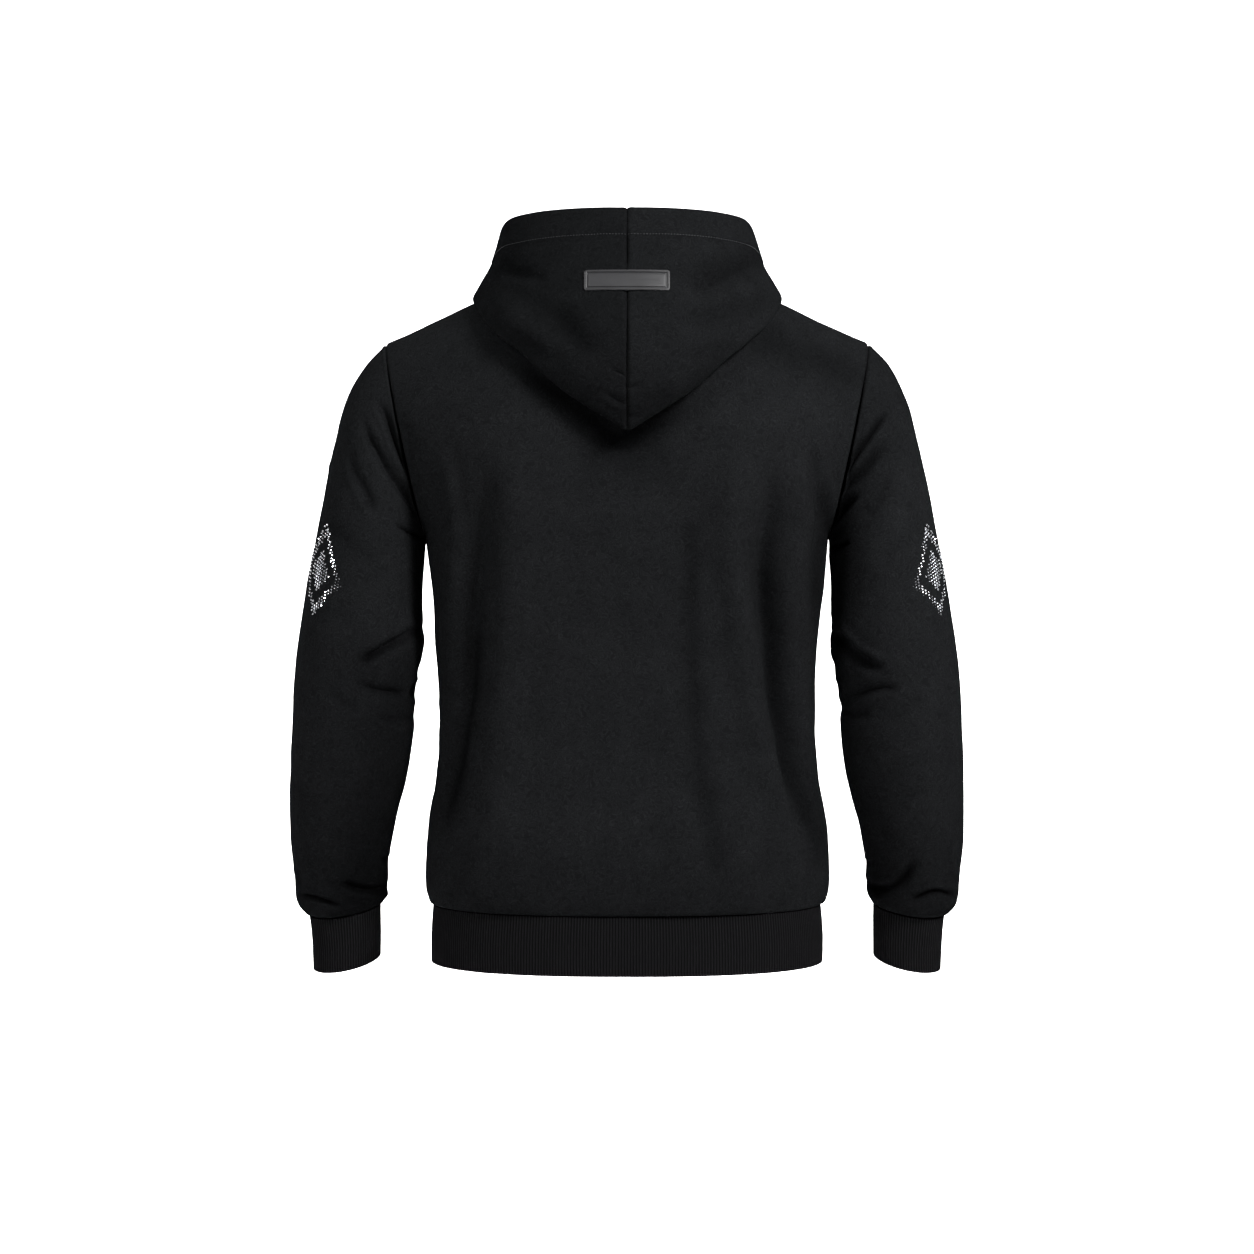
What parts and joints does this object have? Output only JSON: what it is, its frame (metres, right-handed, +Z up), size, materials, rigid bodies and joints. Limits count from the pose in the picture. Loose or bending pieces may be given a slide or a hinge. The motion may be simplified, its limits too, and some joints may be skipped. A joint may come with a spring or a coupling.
{
  "type": "pullover hoodie",
  "caption": "Pullover hoodie with long sleeves, its hood folded down behind the neck, ribbed hem and cuffs, and a small patch on the hood, filled out as when worn.",
  "frame": {"origin": "middle of the neck opening, level with the tops of the shoulder seams, where the wearer's shoulders hold the garment up", "axes": "+Z up along the wearer's spine, the wearer faces -Y, +X is the wearer's left"},
  "size_m": [0.6784, 0.2836, 0.7498],
  "materials": {
    "fleece": "brushed",
    "rib_knit": "ribbed",
    "patch": "satin"
  },
  "bodies": {
    "root": {"back_panel": "fleece", "front_panel": "fleece", "sleeve_left": "fleece", "sleeve_right": "fleece", "hood_left": "fleece", "hood_right": "fleece", "cuff_left": "rib_knit", "cuff_right": "rib_knit", "hem_band": "rib_knit", "hood_label": "patch"}
  },
  "joints": []
}
